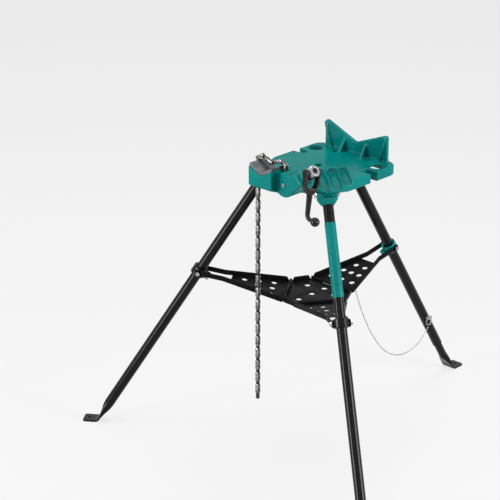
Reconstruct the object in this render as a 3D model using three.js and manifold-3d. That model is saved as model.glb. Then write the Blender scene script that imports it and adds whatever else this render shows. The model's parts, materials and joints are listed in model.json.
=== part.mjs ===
// Tripod stand with a chain pipe vise, a bender casting, a folding tool tray and three tube legs.
// Millimetres, Z up. The nose of the vise points to -Y, the crank is on the +X side.
import * as THREE from 'three';
import { mergeVertices, toCreasedNormals } from 'three/addons/utils/BufferGeometryUtils.js';
import Module from 'manifold-3d';

const wasm = await Module();
wasm.setup();
const { Manifold, Mesh } = wasm;

// Play between two pieces that bear on each other.
const GAP = 0.3;

// Tripod: tube size, splay of the legs from the vertical, circle of the three leg pivots.
const TUBE_D = 30;
const TUBE_WALL = 2.2;
const SPLAY_DEG = 31.9;
const DECK_Z = 850;
const PIVOT_R = 147;
const PIVOT_DROP = 30;
const PIVOT_PIN_D = 10;
const LEG_ANGLES = { rear: 90, left: 215, near: 325 };

// Socket casting on the top of each leg: a cup for the tube and a fork over a tongue of the base.
const SOCKET_R = 29;
const SOCKET_DEPTH = 30;
const HUB_R = 10;
const FORK_DEPTH = 11;
const TONGUE_T = 18;
const TUBE_TOP = 16;

// Flattened foot.
const FOOT_T = 6;
const FOOT_W = 44;
const FOOT_REACH = 45;
const FOOT_HOLE_D = 9;
const FOOT_HOLE_AT = 28;
const FOOT_BEND_R = 30;

// Telescoping rear leg and its ring pin.
const REAR_UPPER_END = 838;
const PIN_AT = 698.5;
const PIN_D = 8;
const PIN_HEAD_D = 14;
const RING_R = 12;
const RING_WIRE_R = 1.6;

// Collars on the legs, where the tray wings hold on.
const COLLAR_AT = 362.8;
const COLLAR_R = 22;
const COLLAR_L = 26;
const COLLAR_HALF_W = 23.1;

// Plain band on the near leg, measured along the tube.
const BAND_FROM = 80;
const BAND_TO = 291;
const BAND_T = 0.6;

// Tray of folded sheet.
const SHEET_T = 2;
const LIP_H = 14;
const HINGE_R = 78;
const HINGE_HALF = 80;
const HINGE_Z = 467;
const KNUCKLE_R = 4.5;
const ROD_D = 5;
const WING_CROTCH = 96.6;
const WING_ARM_T = 3;
const WING_BOLT_D = 8;
const DRAIN_D = 16;

// Base casting.
const SKIRT = 30;
const DECK_HALF = 150;
const DECK_BACK = 192;
const DECK_T = 10;
const SKIRT_T = 12;
const NOSE_HALF = 44;
const NOSE_FRONT = -230;
const NOSE_BACK = -150;
const V_RISE = 33;
const V_SLOPE_DEG = 26;
const JAW_T = 9;
const NOTCH_W = 26;
const NOTCH_DEPTH = 28;
const NOTCH_Y = 82.5;
const TOOL_HOLE_D = 44;
const WALL = 9;
const CORNER = [[86, -118], [130, -97], [DECK_HALF, -60]];
const BENDER_DEG = 45;
const BENDER_R = 330;
const BENDER_START = 72;
const BENDER_SIDES = [-75, 94];
const BENDER_UNDER = { from: 117, rise: 0.21 };
const GROOVE_DEG = 40;
const GROOVES = [{ at: 5, from: 24, r: 16.5 }, { at: 41, from: 21, r: 17 }, { at: 74, from: 14, r: 13 }];
const DECK_HOLE = [-11, 24];
const DECK_HOLE_D = 24;
const REST_Y = 172;
const REST_T = 12;
const REST_HALF = 118;
const REST_V_RISE = 34;
const REST_H = 43;

// Chain.
const PITCH = 19.05;
const LINK_H = 11;
const LINK_IN = 6;
const PLATE_T = 2.2;
const CHAIN_PIN_D = 6;
const CHAIN_PIN_HALF = 8.3;
const CHAIN_Y = -180;
const CHAIN_FAR_X = -53.1;
const SLOT_HALF = 11;
const HORN_GAP = 6.1;

// Draw screw, nut and crank.
const DRAW_DEG = 40;
const DRAW_EYE = 9.53;
const ROLLER_R = 9;
const ARM_HALF = 18;
const ARM_END_R = 15.5;
const LOBE_R = 36;
const CHEEK_T = 13;
const AXLE_D = 10;
const AXLE_X = 66;
const AXLE_RISE = 16;
const SCREW_D = 16;
const THREAD_PITCH = 4;
const NUT_D = 34;
const NUT_L = 30;
const NUT_AT = 97.1;
const SCREW_OUT = 2;
const DRAW_TRAVEL = 3;
const TRUNNION_D = 14;
const NUT_TURN_DEG = -10;
const YOKE_HALF = 18.8;
const YOKE_T = 7;
const YOKE_L = 46;
const CRANK_L = 131;
const CRANK_SET = 33;
const BALL_D = 27;

const deg = THREE.MathUtils.degToRad;
const PIVOT_Z = DECK_Z - PIVOT_DROP;
const V_Z = DECK_Z + V_RISE;
const REST_V_Z = DECK_Z + REST_V_RISE;
const REST_TOP = REST_V_Z + REST_H;
const AXLE = [AXLE_X, DECK_Z + AXLE_RISE];
const SPLAY = deg(SPLAY_DEG);
const COLLAR_X = PIVOT_R + COLLAR_AT * Math.sin(SPLAY) - HINGE_R;
const COLLAR_Z = PIVOT_Z - COLLAR_AT * Math.cos(SPLAY) - HINGE_Z;
const WING_L = Math.hypot(COLLAR_X, COLLAR_Z);
const WING_SLOPE_DEG = THREE.MathUtils.radToDeg(Math.atan2(COLLAR_Z, COLLAR_X));
const TUBE_R = TUBE_D / 2;
const INNER_R = TUBE_R - TUBE_WALL - GAP;

// Solids and meshes.

function solid(geometry) {
  const bare = new THREE.BufferGeometry();
  const flat = geometry.index ? geometry.toNonIndexed() : geometry;
  bare.setAttribute('position', flat.getAttribute('position').clone());
  const welded = mergeVertices(bare, 1e-4);
  const index = welded.index.array;
  const kept = [];
  for (let i = 0; i < index.length; i += 3) {
    const [a, b, c] = [index[i], index[i + 1], index[i + 2]];
    if (a !== b && b !== c && c !== a) kept.push(a, b, c);
  }
  const vertProperties = Float32Array.from(welded.getAttribute('position').array);
  return new Manifold(new Mesh({ numProp: 3, vertProperties, triVerts: Uint32Array.from(kept) }));
}

function geometryOf(made) {
  const mesh = made.getMesh();
  const geometry = new THREE.BufferGeometry();
  geometry.setAttribute('position', new THREE.BufferAttribute(Float32Array.from(mesh.vertProperties), 3));
  geometry.setIndex(Array.from(mesh.triVerts));
  return toCreasedNormals(geometry, deg(32));
}

const join = (...solids) => Manifold.union(solids.flat());
const cut = (body, ...tools) => body.subtract(Manifold.union(tools.flat()));

function box(x0, x1, y0, y1, z0, z1) {
  const geometry = new THREE.BoxGeometry(x1 - x0, y1 - y0, z1 - z0);
  geometry.translate((x0 + x1) / 2, (y0 + y1) / 2, (z0 + z1) / 2);
  return solid(geometry);
}

function turnFromY(axis) {
  const up = new THREE.Vector3(0, 1, 0);
  return new THREE.Quaternion().setFromUnitVectors(up, axis.clone().normalize());
}

function rod(radius, from, to, sides = 20, endRadius = radius) {
  const a = new THREE.Vector3(...from);
  const b = new THREE.Vector3(...to);
  const axis = b.clone().sub(a);
  const geometry = new THREE.CylinderGeometry(endRadius, radius, axis.length(), sides);
  geometry.translate(0, axis.length() / 2, 0);
  geometry.applyQuaternion(turnFromY(axis));
  geometry.translate(a.x, a.y, a.z);
  return solid(geometry);
}

function ball(radius, at, sides = 16) {
  const geometry = new THREE.SphereGeometry(radius, sides, sides / 2);
  geometry.translate(...at);
  return solid(geometry);
}

// Profile of [radius, height] pairs turned about the line that leaves `from` along `axis`.
function turned(profile, from, axis, sides = 20) {
  const geometry = new THREE.LatheGeometry(profile.map(([r, h]) => new THREE.Vector2(r, h)), sides);
  geometry.applyQuaternion(turnFromY(new THREE.Vector3(...axis)));
  geometry.translate(...from);
  return solid(geometry);
}

// Outline with every corner rounded by the same radius.
function rounded(points, radius) {
  const shape = new THREE.Shape();
  const corners = points.map(([x, y]) => new THREE.Vector2(x, y));
  corners.forEach((corner, i) => {
    const before = corners[(i + corners.length - 1) % corners.length];
    const after = corners[(i + 1) % corners.length];
    const inn = before.clone().sub(corner);
    const out = after.clone().sub(corner);
    const reach = Math.min(radius, inn.length() * 0.45, out.length() * 0.45);
    const start = corner.clone().add(inn.setLength(reach));
    const end = corner.clone().add(out.setLength(reach));
    if (i === 0) shape.moveTo(start.x, start.y);
    else shape.lineTo(start.x, start.y);
    shape.quadraticCurveTo(corner.x, corner.y, end.x, end.y);
  });
  shape.closePath();
  return shape;
}

const outline = (points) => new THREE.Shape(points.map(([x, y]) => new THREE.Vector2(x, y)));

function extrude(shape, depth, bevel) {
  const drawn = shape instanceof THREE.Shape ? shape : outline(shape);
  return new THREE.ExtrudeGeometry(drawn, {
    depth: depth - 2 * bevel,
    bevelEnabled: bevel > 0,
    bevelThickness: bevel,
    bevelSize: bevel,
    bevelOffset: -bevel,
    bevelSegments: 1,
    curveSegments: 2,
  }).translate(0, 0, bevel);
}

// Plates drawn in a plan, a front and a side view.
const plan = (shape, z0, z1, bevel = 0) => solid(extrude(shape, z1 - z0, bevel).translate(0, 0, z0));

const front = (shape, y0, y1, bevel = 0) => (
  solid(extrude(shape, y1 - y0, bevel).rotateX(Math.PI / 2).translate(0, y1, 0))
);

function side(shape, x0, x1, bevel = 0) {
  const geometry = extrude(shape, x1 - x0, bevel);
  geometry.applyMatrix4(new THREE.Matrix4().makeBasis(
    new THREE.Vector3(0, 1, 0),
    new THREE.Vector3(0, 0, 1),
    new THREE.Vector3(1, 0, 0),
  ));
  return solid(geometry.translate(x0, 0, 0));
}

// Skin through rings of points, closed by a fan at both ends.
function loft(rings) {
  const count = rings[0].length;
  const triangles = [];
  for (let i = 0; i + 1 < rings.length; i += 1) {
    for (let j = 0; j < count; j += 1) {
      const k = (j + 1) % count;
      triangles.push([rings[i][j], rings[i][k], rings[i + 1][k]]);
      triangles.push([rings[i][j], rings[i + 1][k], rings[i + 1][j]]);
    }
  }
  const last = rings[rings.length - 1];
  for (let j = 1; j + 1 < count; j += 1) {
    triangles.push([rings[0][0], rings[0][j + 1], rings[0][j]]);
    triangles.push([last[0], last[j], last[j + 1]]);
  }
  let volume = 0;
  for (const [a, b, c] of triangles) volume += a.dot(b.clone().cross(c));
  const wound = volume < 0 ? triangles.map(([a, b, c]) => [a, c, b]) : triangles;
  const geometry = new THREE.BufferGeometry();
  geometry.setFromPoints(wound.flat());
  return solid(geometry);
}

const turnZ = (made, degrees) => made.rotate([0, 0, degrees]);

// Point of the pipe screw's plane: `along` its axis from the roller tangent, `across` above it.
const drawDir = [Math.cos(deg(DRAW_DEG)), Math.sin(deg(DRAW_DEG))];
const tangent = [
  AXLE[0] + drawDir[1] * (ROLLER_R + LINK_H / 2 + 0.46),
  AXLE[1] - drawDir[0] * (ROLLER_R + LINK_H / 2 + 0.46),
];
const onDraw = (along, across) => [
  tangent[0] + along * drawDir[0] - across * drawDir[1],
  tangent[1] + along * drawDir[1] + across * drawDir[0],
];
const at3 = ([x, z], y = CHAIN_Y) => [x, y, z];
const drawAxis = [drawDir[0], 0, drawDir[1]];

// Joints of the chain in its own plane, from the draw screw over the jaw to the far hook, then down.
const chainTop = [
  onDraw(DRAW_EYE, 0),
  ...[
    [68.3, -1.6], [51.05, 6.5], [51.05, 25.55], [51.05, 44.6], [51.05, 63.65],
    [34.55, 73.2], [16.9, 66.1], [-1, 59.6], [-18.9, 66.1], [-36.6, 73.2], [CHAIN_FAR_X, 63.7],
  ].map(([x, rise]) => [x, DECK_Z + rise]),
];
const HOOK_Z = chainTop[chainTop.length - 1][1] - PITCH;
const chainJoint = (i) => (
  i < chainTop.length ? chainTop[i] : [CHAIN_FAR_X, HOOK_Z - (i - chainTop.length) * PITCH]
);

// Tongue that holds a leg pivot, drawn for a leg along +X and turned to its angle.
function tongue(angle, inner, top) {
  const shape = [
    [inner, top], [inner + 14, PIVOT_Z - HUB_R + 4], [PIVOT_R, PIVOT_Z - HUB_R],
    [PIVOT_R + HUB_R * 0.7, PIVOT_Z - HUB_R * 0.7], [PIVOT_R + HUB_R, PIVOT_Z], [PIVOT_R + HUB_R, top],
  ];
  return turnZ(front(outline(shape), -TONGUE_T / 2, TONGUE_T / 2), angle);
}

const pivotBore = (angle) => turnZ(
  rod(PIVOT_PIN_D / 2 + GAP, [PIVOT_R, -60, PIVOT_Z], [PIVOT_R, 60, PIVOT_Z], 10),
  angle,
);

function hubClearance(angle) {
  const half = SOCKET_R + 8;
  return turnZ(rod(HUB_R + 1, [PIVOT_R, -half, PIVOT_Z], [PIVOT_R, half, PIVOT_Z], 16), angle);
}

// Round shoulder at a front corner of the deck, over which pipe is bent in half-round grooves.
function shoulderCut(angle, [from, to]) {
  const centre = DECK_Z - BENDER_R;
  const block = box(BENDER_START, 220, from, to, centre + 60, DECK_Z + 30);
  const drum = rod(BENDER_R, [BENDER_START, from - 1, centre], [BENDER_START, to + 1, centre], 144);
  const low = DECK_Z - SKIRT;
  const under = front(outline([
    [BENDER_UNDER.from, low], [BENDER_UNDER.from, low - 10], [220, low - 10],
    [220, low + (220 - BENDER_UNDER.from) * BENDER_UNDER.rise],
  ]), from, to);
  return turnZ(join(cut(block, drum), under), angle);
}

const grooveCuts = GROOVES.flatMap(({ at, from, r }) => [
  turnZ(rod(r, [from, at, DECK_Z], [230, at, DECK_Z], 20), -GROOVE_DEG),
  turnZ(ball(r, [from, at, DECK_Z]), -GROOVE_DEG),
]);

function notch(sign, grow) {
  const half = NOTCH_W / 2 + grow;
  const inner = DECK_HALF - NOTCH_DEPTH;
  const xs = [sign * inner, sign * (grow ? DECK_HALF - 1 : DECK_HALF + 30)].sort((a, b) => a - b);
  const low = DECK_Z - SKIRT - (grow ? 0 : 5);
  const high = DECK_Z + (grow ? 0 : 5);
  return join(
    box(xs[0], xs[1], NOTCH_Y - half, NOTCH_Y + half, low, high),
    rod(half, [sign * inner, NOTCH_Y, low], [sign * inner, NOTCH_Y, high], 16),
  );
}

function baseCasting() {
  const low = DECK_Z - SKIRT;
  const flank = [
    [NOSE_HALF, -168], ...CORNER, [DECK_HALF, DECK_BACK - 20], [DECK_HALF - 24, DECK_BACK],
  ];
  const deck = plan(rounded([
    ...flank, ...flank.map(([x, y]) => [-x, y]).reverse(),
  ], 14), low, DECK_Z, 3);
  const [inX, inY] = [DECK_HALF - SKIRT_T, DECK_BACK - SKIRT_T];
  const hollow = plan(rounded([
    [inX, 34], [inX, inY - 15], [inX - 20, inY], [20 - inX, inY], [-inX, inY - 15], [-inX, 34],
    [-42, 92], [42, 92],
  ], 10), low - 5, DECK_Z - DECK_T);
  const toolAt = [-1, 1].map((s) => [s * 118, 132]);
  const bosses = [-1, 1].map((s) => notch(s, WALL));
  const through = [
    ...[-1, 1].map((s) => notch(s, 0)),
    ...toolAt.map(([x, y]) => rod(TOOL_HOLE_D / 2, [x, y, low - 5], [x, y, DECK_Z + 5], 20)),
    rod(DECK_HOLE_D / 2, [...DECK_HOLE, low - 5], [...DECK_HOLE, DECK_Z + 5], 16),
    ...[-1, 1].map((s) => rod(9, [s * 57, 152, low - 5], [s * 57, 152, DECK_Z + 5], 12)),
  ];
  let body = cut(join(cut(deck, hollow), bosses), through);
  body = cut(
    body,
    shoulderCut(-BENDER_DEG, BENDER_SIDES),
    shoulderCut(180 + BENDER_DEG, BENDER_SIDES.map((t) => -t).reverse()),
    grooveCuts,
  );

  const slope = Math.tan(deg(V_SLOPE_DEG));
  const nose = front([
    [-NOSE_HALF, low + 2], [NOSE_HALF, low + 2], [NOSE_HALF, V_Z + NOSE_HALF * slope],
    [0, V_Z], [-NOSE_HALF, V_Z + NOSE_HALF * slope],
  ], NOSE_FRONT, NOSE_BACK);
  const web = side(rounded([
    [NOSE_BACK - 20, low + 2], [-60, low + 2], [-60, DECK_Z], [-96, DECK_Z + 2], [NOSE_BACK - 20, V_Z - 6],
  ], 8), -34, 34, 2);
  const underNose = side(outline([
    [NOSE_FRONT - 10, low - 20], [NOSE_BACK - 4, low - 20], [NOSE_BACK - 14, low + 3],
    [NOSE_FRONT + 6, DECK_Z - 4], [NOSE_FRONT - 10, DECK_Z],
  ]), -80, 80);

  const cheeks = [CHAIN_Y - SLOT_HALF - CHEEK_T, CHAIN_Y + SLOT_HALF + CHEEK_T];
  const armEnd = NUT_AT - NUT_L / 2 - 0.5;
  const armFlat = armEnd - 19.6;
  const arm = join(
    rod(LOBE_R, [AXLE[0], cheeks[0], AXLE[1]], [AXLE[0], cheeks[1], AXLE[1]], 28),
    front(rounded([
      [NOSE_HALF - 12, DECK_Z - 4], onDraw(0, -ARM_HALF), onDraw(armFlat, -ARM_HALF),
      onDraw(armFlat, ARM_HALF), onDraw(6, 2 * ARM_HALF), [NOSE_HALF - 12, V_Z + 15],
    ], 5), cheeks[0], cheeks[1], 2),
    rod(ARM_END_R, at3(onDraw(armFlat - 12, 0)), at3(onDraw(armEnd, 0)), 20),
  );
  const slotY = [CHAIN_Y - SLOT_HALF, CHAIN_Y + SLOT_HALF];
  const armCuts = [
    front([
      onDraw(-30, -ARM_HALF / 2), onDraw(armFlat - 12, -ARM_HALF / 2), onDraw(armFlat - 12, ARM_HALF / 2),
      onDraw(-30, ARM_HALF / 2),
    ], ...slotY),
    rod(LOBE_R - 11, [AXLE[0], slotY[0], AXLE[1]], [AXLE[0], slotY[1], AXLE[1]], 20),
    box(NOSE_HALF, NOSE_HALF + 16, ...slotY, DECK_Z, V_Z + 60),
    rod(SCREW_D / 2 + GAP, at3(onDraw(30, 0)), at3(onDraw(armEnd + 20, 0)), 16),
    rod(AXLE_D / 2 + GAP, [AXLE[0], cheeks[0] - 5, AXLE[1]], [AXLE[0], cheeks[1] + 5, AXLE[1]], 12),
  ];

  const hornTop = HOOK_Z - CHAIN_PIN_D / 2 - GAP;
  const horn = rounded([
    [-NOSE_HALF + 8, hornTop - 22], [CHAIN_FAR_X - 8, hornTop - 16], [CHAIN_FAR_X - 13, hornTop + 5],
    [CHAIN_FAR_X - 7, hornTop + 5], [CHAIN_FAR_X - 4.4, hornTop], [-NOSE_HALF + 8, hornTop],
  ], 2);
  const horns = [CHAIN_Y - HORN_GAP - 12, CHAIN_Y + HORN_GAP].map((y) => front(horn, y, y + 12));

  const rest = front(rounded([
    [-REST_HALF, DECK_Z - 4], [REST_HALF, DECK_Z - 4], [REST_HALF, REST_TOP], [REST_HALF - 11, REST_TOP],
    [0, REST_V_Z], [-REST_HALF + 11, REST_TOP], [-REST_HALF, REST_TOP],
  ], 5), REST_Y, REST_Y + REST_T, 2);
  const ribs = [-1, 1].flatMap((s) => [
    front(rounded([
      [s * 116, REST_TOP - 3], [s * 108, REST_TOP - 3], [s * 82, DECK_Z - 3], [s * 93, DECK_Z - 3],
    ], 2), REST_Y - 9, REST_Y + 2),
    side(rounded([[REST_Y + 2, REST_V_Z + 8], [REST_Y + 2, DECK_Z - 3], [REST_Y - 30, DECK_Z - 3]], 3),
      s * 40 - 5, s * 40 + 5),
  ]);

  body = cut(join(body, cut(join(nose, web), underNose), arm, horns, rest, ribs), armCuts);
  const angles = Object.values(LEG_ANGLES);
  body = join(
    cut(body, angles.map(hubClearance)),
    tongue(LEG_ANGLES.rear, 112, DECK_Z - 2),
    tongue(LEG_ANGLES.left, 112, PIVOT_Z + HUB_R + 2),
    tongue(LEG_ANGLES.near, 112, PIVOT_Z + HUB_R + 2),
  );
  return cut(body, angles.map(pivotBore));
}

// Jaw plate with teeth across the V.
function jaw() {
  const slope = Math.tan(deg(V_SLOPE_DEG));
  const half = NOSE_HALF - 2.5;
  const teeth = 14;
  const upper = [];
  for (let i = 0; i <= 2 * teeth; i += 1) {
    const x = half - (i * half) / teeth;
    const raise = i % 2 === 0 && i > 0 && i < 2 * teeth ? -1.6 : 0;
    upper.push([x, V_Z + JAW_T + Math.abs(x) * slope + raise]);
  }
  const under = V_Z + GAP / Math.cos(deg(V_SLOPE_DEG));
  const shape = [[-half, under + half * slope], [0, under], [half, under + half * slope], ...upper];
  return front(shape, NOSE_FRONT + 3, NOSE_BACK - 10);
}

// Chain links: the even ones are plate pairs that carry the pins, the odd ones blocks between them.
// A block inside a run is let into its plates; one at the end of a run turns freely on a bored joint.
function link(i, bored) {
  const a = new THREE.Vector2(...chainJoint(i));
  const b = new THREE.Vector2(...chainJoint(i + 1));
  const turn = b.clone().sub(a).angle();
  const h = LINK_H / 2;
  const c = h * 0.4;
  const far = b.distanceTo(a);
  const plate = [[-h, 0], [-c, -h], [far + c, -h], [far + h, 0], [far + c, h], [-c, h]];
  const bar = [[-c, -h], [far + c, -h], [far + c, h], [-c, h]];
  const shape = outline((i % 2 === 0 || bored.length ? plate : bar).map(([u, v]) => {
    const p = new THREE.Vector2(u, v).rotateAround(new THREE.Vector2(0, 0), turn).add(a);
    return [p.x, p.y];
  }));
  const inner = LINK_IN / 2 + GAP;
  if (i % 2 === 0) {
    return [
      front(shape, CHAIN_Y - inner - PLATE_T, CHAIN_Y - inner),
      front(shape, CHAIN_Y + inner, CHAIN_Y + inner + PLATE_T),
    ];
  }
  const half = bored.length ? LINK_IN / 2 : inner + GAP;
  const block = front(shape, CHAIN_Y - half, CHAIN_Y + half);
  if (bored.length === 0) return [block];
  const bores = bored.map((j) => chainPin(j, CHAIN_PIN_D / 2 + GAP));
  return [cut(block, bored.includes(1) ? [0, 0.5, 1].map((k) => (
    bores[0].translate(drawAxis.map((d) => d * k * DRAW_TRAVEL))
  )) : bores)];
}

function chainPin(i, radius = CHAIN_PIN_D / 2) {
  const [x, z] = chainJoint(i);
  return rod(radius, [x, CHAIN_Y - CHAIN_PIN_HALF, z], [x, CHAIN_Y + CHAIN_PIN_HALF, z], 8);
}

// Run of links fused at its inner joints; at either end the plate pair keeps the shared pin.
function chainRun(first, last) {
  const pieces = [];
  for (let i = first; i < last; i += 1) {
    const ends = [first, last].filter((j) => j === i || j === i + 1);
    pieces.push(...link(i, ends));
    for (const j of [i, i + 1]) {
      const held = i % 2 === 0 ? ends.includes(j) : ends.length > 0 && !ends.includes(j);
      if (held) pieces.push(chainPin(j));
    }
  }
  return join(pieces);
}

function chainRoller() {
  const [x, z] = AXLE;
  const half = SLOT_HALF + CHEEK_T + 2;
  return join(
    rod(AXLE_D / 2, [x, CHAIN_Y - half, z], [x, CHAIN_Y + half, z], 12),
    rod(ROLLER_R, [x, CHAIN_Y - SLOT_HALF + 0.5, z], [x, CHAIN_Y + SLOT_HALF - 0.5, z], 20),
  );
}

function drawScrew() {
  const eyeAt = onDraw(DRAW_EYE, 0);
  const half = LINK_IN / 2;
  const start = DRAW_EYE + LINK_H / 2 + 2;
  const profile = [[0, start], [SCREW_D / 2, start]];
  const threadFrom = NUT_AT + NUT_L / 2 - 4;
  const end = NUT_AT + NUT_L / 2 + SCREW_OUT;
  profile.push([SCREW_D / 2, threadFrom]);
  for (let s = threadFrom + THREAD_PITCH / 2, low = true; s < end; s += THREAD_PITCH / 2, low = !low) {
    profile.push([SCREW_D / 2 - (low ? 1.2 : 0), s]);
  }
  profile.push([SCREW_D / 2 - 1.5, end], [0, end]);
  const eye = join(
    rod(LINK_H / 2 + 0.5, [eyeAt[0], CHAIN_Y - half, eyeAt[1]], [eyeAt[0], CHAIN_Y + half, eyeAt[1]], 12),
    front([onDraw(DRAW_EYE, -5), onDraw(start + 3, -5), onDraw(start + 3, 5), onDraw(DRAW_EYE, 5)],
      CHAIN_Y - half, CHAIN_Y + half),
  );
  return cut(join(turned(profile, at3(tangent), drawAxis, 12), eye), chainPin(0, CHAIN_PIN_D / 2 + GAP));
}

// The nut and its crank stand turned a little on the draw screw.
function turnedOnDraw(made) {
  const [x, y, z] = at3(tangent);
  return made.translate([-x, -y, -z])
    .rotate([0, DRAW_DEG, 0])
    .rotate([NUT_TURN_DEG, 0, 0])
    .rotate([0, -DRAW_DEG, 0])
    .translate([x, y, z]);
}

function crankNut() {
  const [x, z] = onDraw(NUT_AT, 0);
  const r = NUT_D / 2;
  const h = NUT_L / 2;
  const profile = [[0, -h], [r - 2, -h], [r, -h + 2], [r, h - 2], [r - 2, h], [0, h]];
  const body = turned(profile, [x, CHAIN_Y, z], drawAxis, 24);
  const reach = YOKE_HALF + YOKE_T - 3;
  const trunnions = rod(TRUNNION_D / 2, [x, CHAIN_Y - reach, z], [x, CHAIN_Y + reach, z], 16);
  const bore = rod(SCREW_D / 2 + GAP, at3(onDraw(NUT_AT - 30, 0)), at3(onDraw(NUT_AT + 30, 0)), 16);
  return turnedOnDraw(cut(join(body, trunnions), bore));
}

// Forged crank: a fork with two blind eyes, a stem that bends outwards, and a ball.
function crankHandle() {
  const [x, z] = onDraw(NUT_AT, 0);
  const outer = YOKE_HALF + YOKE_T;
  const eyes = [-1, 1].map((s) => (
    rod(12, [x, CHAIN_Y + s * YOKE_HALF, z], [x, CHAIN_Y + s * outer, z], 14)
  ));
  const fork = side(rounded([
    [CHAIN_Y - outer, z], [CHAIN_Y - outer, z - YOKE_L + 8], [CHAIN_Y - 10, z - YOKE_L - 16],
    [CHAIN_Y + 10, z - YOKE_L - 16], [CHAIN_Y + outer, z - YOKE_L + 8], [CHAIN_Y + outer, z],
    [CHAIN_Y + YOKE_HALF, z], [CHAIN_Y + YOKE_HALF, z - YOKE_L + 12], [CHAIN_Y + 12, z - YOKE_L],
    [CHAIN_Y - 12, z - YOKE_L], [CHAIN_Y - YOKE_HALF, z - YOKE_L + 12], [CHAIN_Y - YOKE_HALF, z],
  ], 6), x - 8, x + 8);
  const elbow = 14;
  const stations = [
    { dx: 0, dz: -YOKE_L - 4, bend: 0, w: 11, d: 8 },
    { dx: 0, dz: -YOKE_L - 26, bend: 0, w: 9, d: 8 },
    { dx: 0, dz: -CRANK_L + elbow + 12, bend: 0, w: 7.5, d: 7.5 },
  ];
  for (let i = 0; i <= 4; i += 1) {
    const bend = (i / 4) * (Math.PI / 2);
    const [dx, dz] = [elbow * (1 - Math.cos(bend)), -CRANK_L + elbow * (1 - Math.sin(bend))];
    stations.push({ dx, dz, bend, w: 7 - i * 0.2, d: 7 - i * 0.2 });
  }
  stations.push({ dx: CRANK_SET, dz: -CRANK_L, bend: Math.PI / 2, w: 6, d: 6 });
  const stem = loft(stations.map(({ dx, dz, bend, w, d }) => {
    const ring = [];
    for (let i = 0; i < 10; i += 1) {
      const a = (i / 10) * 2 * Math.PI;
      const out = d * Math.cos(a);
      const at = new THREE.Vector3(x + dx, CHAIN_Y + w * Math.sin(a), z + dz);
      ring.push(at.add(new THREE.Vector3(out * Math.cos(bend), 0, out * Math.sin(bend))));
    }
    return ring;
  }));
  const knob = ball(BALL_D / 2, [x + CRANK_SET, CHAIN_Y, z - CRANK_L]);
  const reach = outer - 2.5;
  const bore = rod(TRUNNION_D / 2 + GAP, [x, CHAIN_Y - reach, z], [x, CHAIN_Y + reach, z], 16);
  return turnedOnDraw(cut(join(eyes, fork, stem, knob), bore));
}

// Legs, drawn in the frame of a leg: X outwards, Z up, the pivot at the origin.
const legAt = (s) => [s * Math.sin(SPLAY), -s * Math.cos(SPLAY)];

function footedTube(from, radius) {
  const drop = PIVOT_Z - FOOT_T / 2;
  const knee = drop / Math.cos(SPLAY);
  const [kneeX] = legAt(knee);
  const half = FOOT_T / 2;
  const width = FOOT_W / 2;
  const bend = Math.PI / 2 - SPLAY;
  const tangentLength = FOOT_BEND_R * Math.tan(bend / 2);
  const stations = [
    { s: from, a: radius, b: radius }, { s: knee - 115, a: radius, b: radius },
    { s: knee - 90, a: radius * 0.8, b: radius + (width - radius) * 0.4 },
    { s: knee - 62, a: radius * 0.45, b: radius + (width - radius) * 0.8 },
    { s: knee - 38, a: half, b: width },
  ].map(({ s, a, b }) => ({ at: legAt(s), tilt: SPLAY, a, b }));
  const centre = [kneeX + tangentLength, -drop + FOOT_BEND_R];
  for (let i = 0; i <= 4; i += 1) {
    const tilt = SPLAY + (bend * i) / 4;
    const at = [centre[0] - FOOT_BEND_R * Math.cos(tilt), centre[1] - FOOT_BEND_R * Math.sin(tilt)];
    stations.push({ at, tilt, a: half, b: width });
  }
  for (const [reach, wide] of [[0.62, 1], [0.88, 0.8], [1, 0.4]]) {
    const at = [kneeX + FOOT_REACH * reach, -drop];
    stations.push({ at, tilt: Math.PI / 2, a: half, b: width * wide });
  }
  const rings = stations.map(({ at, tilt, a, b }) => {
    const ring = [];
    for (let i = 0; i < 16; i += 1) {
      const turn = ((i + 0.5) / 16) * 2 * Math.PI;
      const n = THREE.MathUtils.clamp(b * Math.sin(turn), -a, a);
      const across = b * Math.cos(turn);
      ring.push(new THREE.Vector3(at[0] + n * Math.cos(tilt), across, at[1] + n * Math.sin(tilt)));
    }
    return ring;
  });
  const holeX = kneeX + FOOT_HOLE_AT;
  return cut(loft(rings), rod(FOOT_HOLE_D / 2, [holeX, 0, -PIVOT_Z - 5], [holeX, 0, -PIVOT_Z + 15], 12));
}

const along = (s, y = 0) => [legAt(s)[0], y, legAt(s)[1]];

function rearUpper() {
  const tube = rod(TUBE_R, along(TUBE_TOP + GAP), along(REAR_UPPER_END), 20);
  return cut(
    tube,
    rod(INNER_R + GAP, along(PIN_AT - 15), along(REAR_UPPER_END + 5), 20),
    rod(PIN_D / 2 + GAP, along(PIN_AT, -30), along(PIN_AT, 30), 16),
  );
}

const rearLower = () => footedTube(PIN_AT + PIN_D / 2 + GAP, INNER_R);

function lockPin() {
  const head = -TUBE_R - GAP;
  const ringY = head - 6.4;
  const [x, , z] = along(PIN_AT);
  const made = join(
    rod(PIN_D / 2, along(PIN_AT, head - 1.5), along(PIN_AT, TUBE_R + 6), 16),
    rod(PIN_HEAD_D / 2, along(PIN_AT, head), along(PIN_AT, head - 13), 20),
  );
  return cut(made, rod(RING_WIRE_R + 2.6, [x - 20, ringY, z], [x + 20, ringY, z], 16));
}

function pinRing() {
  const [x, , z] = along(PIN_AT);
  const torus = new THREE.TorusGeometry(RING_R, RING_WIRE_R, 6, 20).rotateX(Math.PI / 2);
  torus.translate(x, -TUBE_R - GAP - 6.4, z - RING_R - 0.9);
  return solid(torus);
}

// Pieces that lie along a leg, drawn with the tube on -Z and tilted by the splay.
const tilted = (made) => made.rotate([0, -SPLAY_DEG, 0]);

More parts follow.
